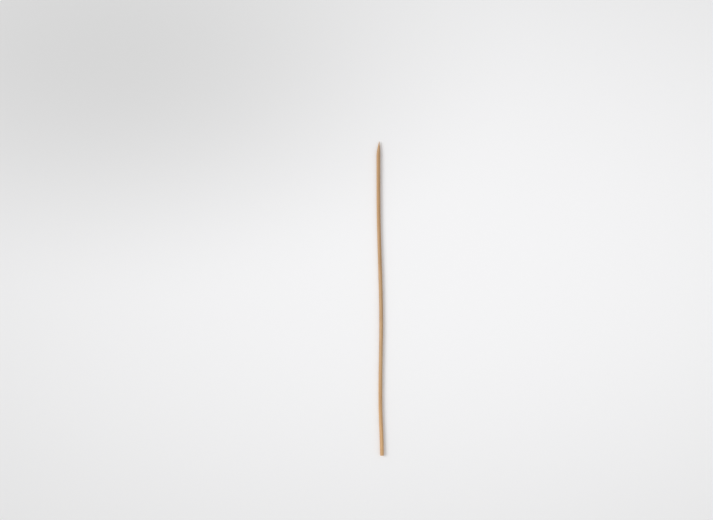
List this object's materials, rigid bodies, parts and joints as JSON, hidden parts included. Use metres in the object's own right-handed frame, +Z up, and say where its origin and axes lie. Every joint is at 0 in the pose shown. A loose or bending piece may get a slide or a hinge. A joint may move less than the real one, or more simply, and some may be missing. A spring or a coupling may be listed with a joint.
{
  "type": "bamboo skewer",
  "caption": "Slender round bamboo rod, cut square at the foot and ground to a long point, for threading and holding food.",
  "frame": {"origin": "on the surface that the skewer lies on, under the middle of its length and width", "axes": "+Y along the skewer from the foot to the point, +Z up out of the surface, +X to the right with the point ahead"},
  "size_m": [0.0042, 0.25, 0.0029],
  "materials": {
    "bamboo": "unvarnished, drawn smooth, with long fibre streaks"
  },
  "bodies": {
    "root": {"skewer": "bamboo"}
  },
  "joints": []
}
